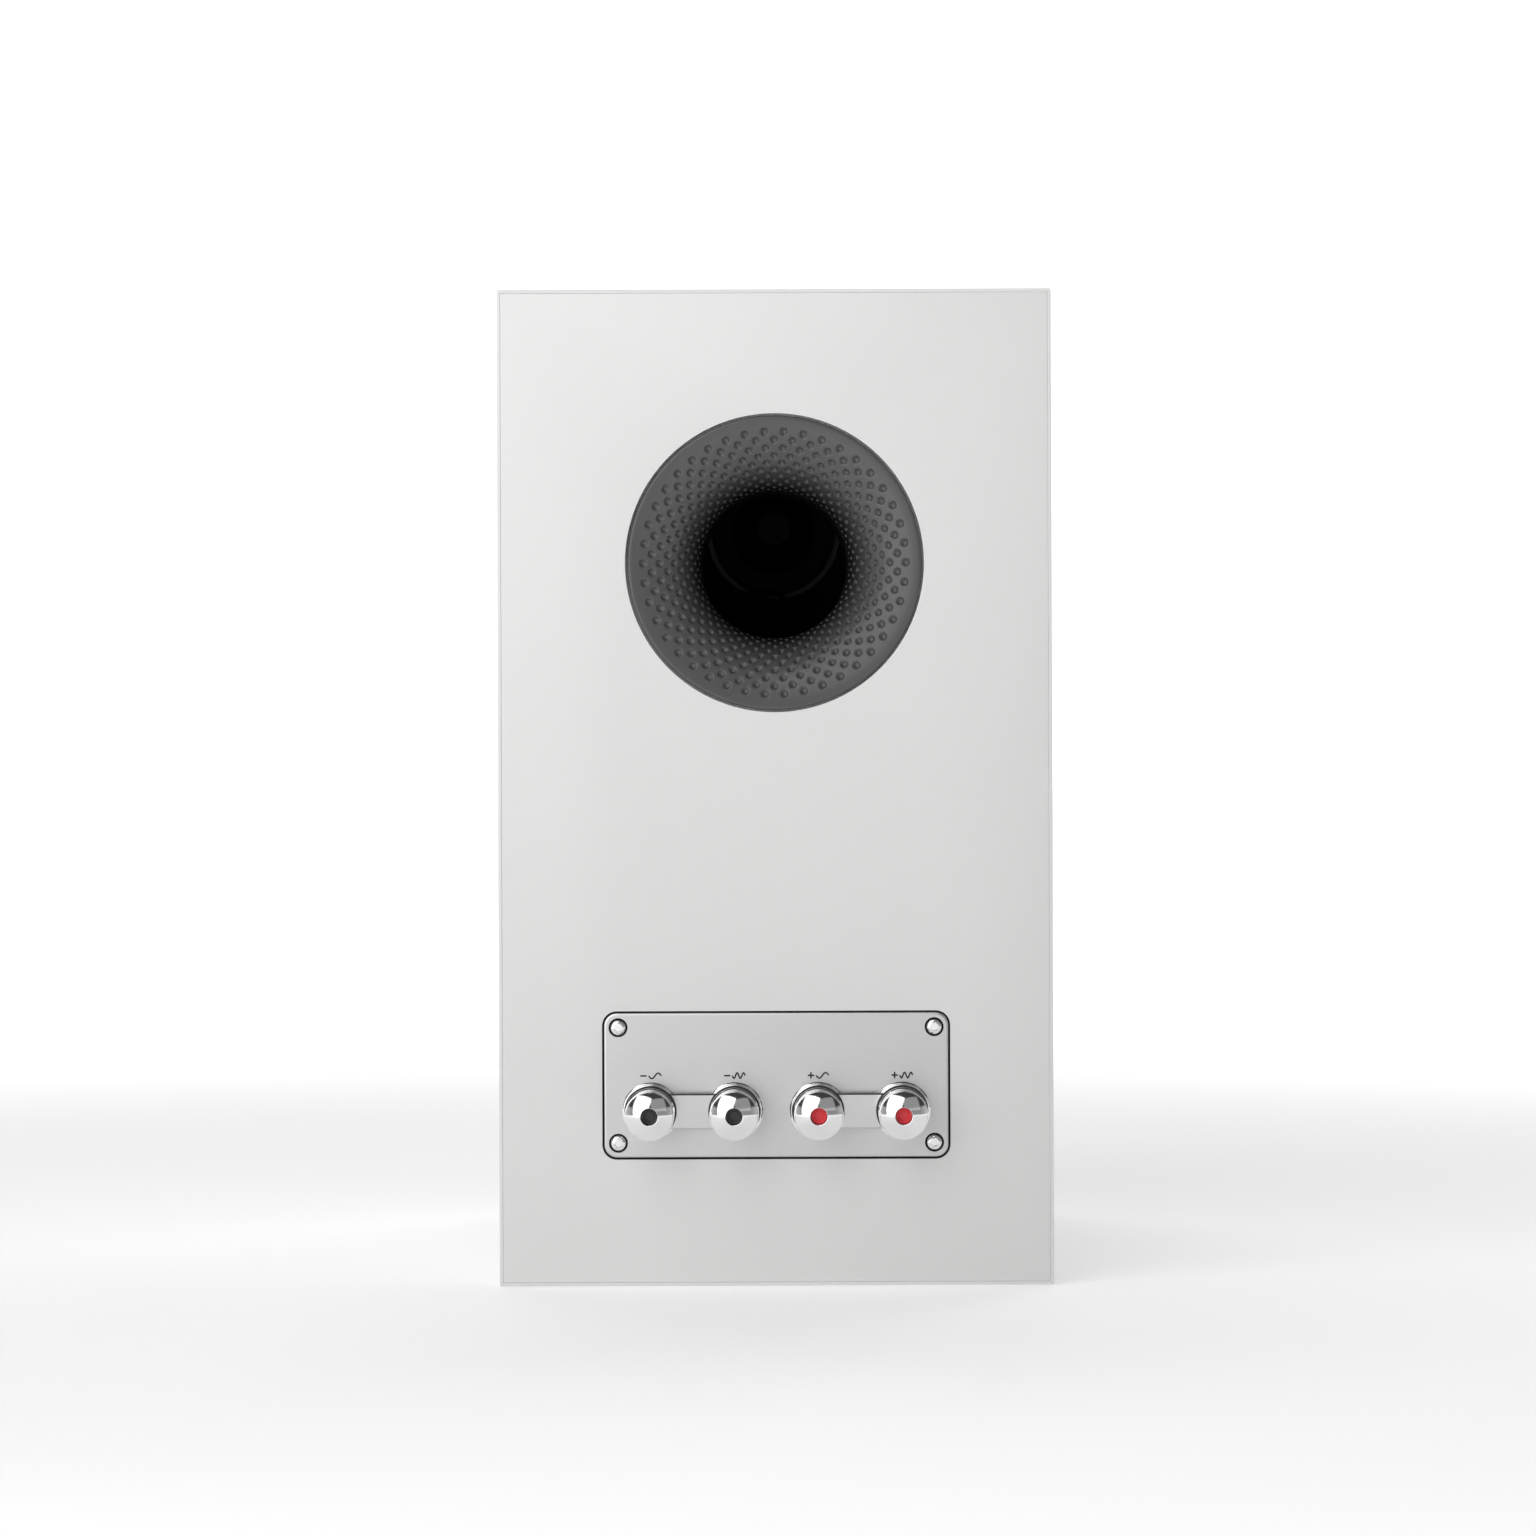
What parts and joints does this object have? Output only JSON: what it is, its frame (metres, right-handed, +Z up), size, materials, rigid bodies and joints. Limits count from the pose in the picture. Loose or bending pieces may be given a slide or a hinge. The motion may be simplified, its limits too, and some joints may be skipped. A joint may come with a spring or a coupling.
{
  "type": "bookshelf loudspeaker",
  "caption": "Two-way bookshelf loudspeaker: box cabinet, flared rear reflex port, bi-wire terminal plate with domed-knob binding posts, bass-midrange and dome tweeter in front.",
  "frame": {"origin": "on the floor plane, under the centre of the overall box (terminals included)", "axes": "+Z up; the drive units face -Y and the port and terminals face +Y; +X is to the right when the drive units are seen from in front"},
  "size_m": [0.192, 0.297, 0.345],
  "materials": {
    "cabinet_white": "satin paint on MDF",
    "bare_board": "raw",
    "lining_foam": "open foam",
    "insert_steel": "plated",
    "port_plastic": "fine grain",
    "plate_metal": "brushed",
    "seal_rubber": "matt",
    "screw_steel": "bright plate",
    "stem_metal": "bright plate",
    "bushing_plastic": "moulded",
    "post_chrome": "mirror",
    "nut_brass": "turned",
    "strap_metal": "satin",
    "plug_black": "moulded",
    "plug_red": "moulded",
    "basket_metal": "powder coated",
    "trim_metal": "satin",
    "surround_rubber": "smooth",
    "cone_weave": "coated woven fibre",
    "cap_plastic": "satin",
    "coil_copper": "enamelled wire on a former",
    "spider_cloth": "resin-stiffened cloth",
    "motor_steel": "plated",
    "ferrite": "ground",
    "black_screw": "black oxide",
    "faceplate_metal": "satin",
    "mesh_metal": "perforated",
    "dome_metal": "anodised foil",
    "chassis_plastic": "moulded",
    "neodymium": "nickel plate",
    "tube_metal": "cast",
    "board_laminate": "solder mask",
    "capacitor_film": "wrapped",
    "resistor_ceramic": "ceramic",
    "standoff_nylon": "nylon",
    "wire_jacket": "stranded lead"
  },
  "bodies": {
    "cabinet": {"left_side_panel": "cabinet_white", "right_side_panel": "cabinet_white", "top_panel": "cabinet_white", "bottom_panel": "cabinet_white", "rear_panel": "cabinet_white", "front_baffle": "cabinet_white", "shelf_brace": "bare_board", "base_inserts": "insert_steel", "foam_lining": "lining_foam", "port_flare": "port_plastic", "port_tube": "port_plastic", "port_inner_flare": "port_plastic", "terminal_plate": "plate_metal", "terminal_gasket": "seal_rubber", "terminal_screws": "screw_steel", "post_stems": "stem_metal", "post_bushings": "bushing_plastic", "post_collars": "post_chrome", "post_nuts": "nut_brass", "link_straps": "strap_metal", "woofer_basket": "basket_metal", "woofer_trim_ring": "trim_metal", "woofer_gasket": "seal_rubber", "woofer_surround": "surround_rubber", "woofer_spider": "spider_cloth", "woofer_top_plate": "motor_steel", "woofer_magnet": "ferrite", "woofer_pole_yoke": "motor_steel", "woofer_screws": "black_screw", "tweeter_faceplate": "faceplate_metal", "tweeter_mesh": "mesh_metal", "tweeter_surround": "surround_rubber", "tweeter_chassis": "chassis_plastic", "tweeter_magnet": "neodymium", "tweeter_motor_steel": "motor_steel", "tweeter_rear_tube": "tube_metal", "tweeter_screws": "black_screw", "crossover_board": "board_laminate", "crossover_coils": "coil_copper", "crossover_capacitors": "capacitor_film", "crossover_resistors": "resistor_ceramic", "crossover_standoffs": "standoff_nylon", "wiring_harness": "wire_jacket"},
    "clamp_lf_minus": {"clamp_washer_lf_minus": "bushing_plastic"},
    "knob_lf_minus": {"post_knob_lf_minus": "post_chrome"},
    "plug_lf_minus": {"socket_plug_lf_minus": "plug_black"},
    "clamp_hf_minus": {"clamp_washer_hf_minus": "bushing_plastic"},
    "knob_hf_minus": {"post_knob_hf_minus": "post_chrome"},
    "plug_hf_minus": {"socket_plug_hf_minus": "plug_black"},
    "clamp_lf_plus": {"clamp_washer_lf_plus": "bushing_plastic"},
    "knob_lf_plus": {"post_knob_lf_plus": "post_chrome"},
    "plug_lf_plus": {"socket_plug_lf_plus": "plug_red"},
    "clamp_hf_plus": {"clamp_washer_hf_plus": "bushing_plastic"},
    "knob_hf_plus": {"post_knob_hf_plus": "post_chrome"},
    "plug_hf_plus": {"socket_plug_hf_plus": "plug_red"},
    "woofer_diaphragm": {"woofer_cone": "cone_weave", "woofer_dust_cap": "cap_plastic", "woofer_voice_coil": "coil_copper"},
    "tweeter_diaphragm": {"tweeter_dome": "dome_metal", "tweeter_voice_coil": "coil_copper"}
  },
  "joints": [
    {"name": "clamp_travel_lf_minus", "type": "slide", "parent": "cabinet", "child": "clamp_lf_minus", "axis": [0, 1, 0], "range_m": [0, 0.005]},
    {"name": "knob_turn_lf_minus", "type": "hinge", "parent": "clamp_lf_minus", "child": "knob_lf_minus", "pos_m": [0.0435, 0.14, 0.0606], "axis": [0, 1, 0], "range_deg": [0, 1800]},
    {"name": "plug_pull_lf_minus", "type": "slide", "parent": "knob_lf_minus", "child": "plug_lf_minus", "axis": [0, 1, 0], "range_m": [0, 0.018]},
    {"name": "clamp_travel_hf_minus", "type": "slide", "parent": "cabinet", "child": "clamp_hf_minus", "axis": [0, 1, 0], "range_m": [0, 0.005]},
    {"name": "knob_turn_hf_minus", "type": "hinge", "parent": "clamp_hf_minus", "child": "knob_hf_minus", "pos_m": [0.0145, 0.14, 0.0606], "axis": [0, 1, 0], "range_deg": [0, 1800]},
    {"name": "plug_pull_hf_minus", "type": "slide", "parent": "knob_hf_minus", "child": "plug_hf_minus", "axis": [0, 1, 0], "range_m": [0, 0.018]},
    {"name": "clamp_travel_lf_plus", "type": "slide", "parent": "cabinet", "child": "clamp_lf_plus", "axis": [0, 1, 0], "range_m": [0, 0.005]},
    {"name": "knob_turn_lf_plus", "type": "hinge", "parent": "clamp_lf_plus", "child": "knob_lf_plus", "pos_m": [-0.0145, 0.14, 0.0606], "axis": [0, 1, 0], "range_deg": [0, 1800]},
    {"name": "plug_pull_lf_plus", "type": "slide", "parent": "knob_lf_plus", "child": "plug_lf_plus", "axis": [0, 1, 0], "range_m": [0, 0.018]},
    {"name": "clamp_travel_hf_plus", "type": "slide", "parent": "cabinet", "child": "clamp_hf_plus", "axis": [0, 1, 0], "range_m": [0, 0.005]},
    {"name": "knob_turn_hf_plus", "type": "hinge", "parent": "clamp_hf_plus", "child": "knob_hf_plus", "pos_m": [-0.0435, 0.14, 0.0606], "axis": [0, 1, 0], "range_deg": [0, 1800]},
    {"name": "plug_pull_hf_plus", "type": "slide", "parent": "knob_hf_plus", "child": "plug_hf_plus", "axis": [0, 1, 0], "range_m": [0, 0.018]},
    {"name": "woofer_stroke", "type": "slide", "parent": "cabinet", "child": "woofer_diaphragm", "axis": [0, -1, 0], "range_m": [-0.005, 0.005], "stiffness_N_per_m": 1200, "deforming": ["woofer_surround", "woofer_spider"]},
    {"name": "tweeter_stroke", "type": "slide", "parent": "cabinet", "child": "tweeter_diaphragm", "axis": [0, -1, 0], "range_m": [-0.0003, 0.0003], "stiffness_N_per_m": 200, "deforming": ["tweeter_surround"]}
  ],
  "couplings": [
    {"joint": "knob_turn_lf_minus", "follows": "clamp_travel_lf_minus", "rad_per_m": 6283.2},
    {"joint": "knob_turn_hf_minus", "follows": "clamp_travel_hf_minus", "rad_per_m": 6283.2},
    {"joint": "knob_turn_lf_plus", "follows": "clamp_travel_lf_plus", "rad_per_m": 6283.2},
    {"joint": "knob_turn_hf_plus", "follows": "clamp_travel_hf_plus", "rad_per_m": 6283.2}
  ]
}
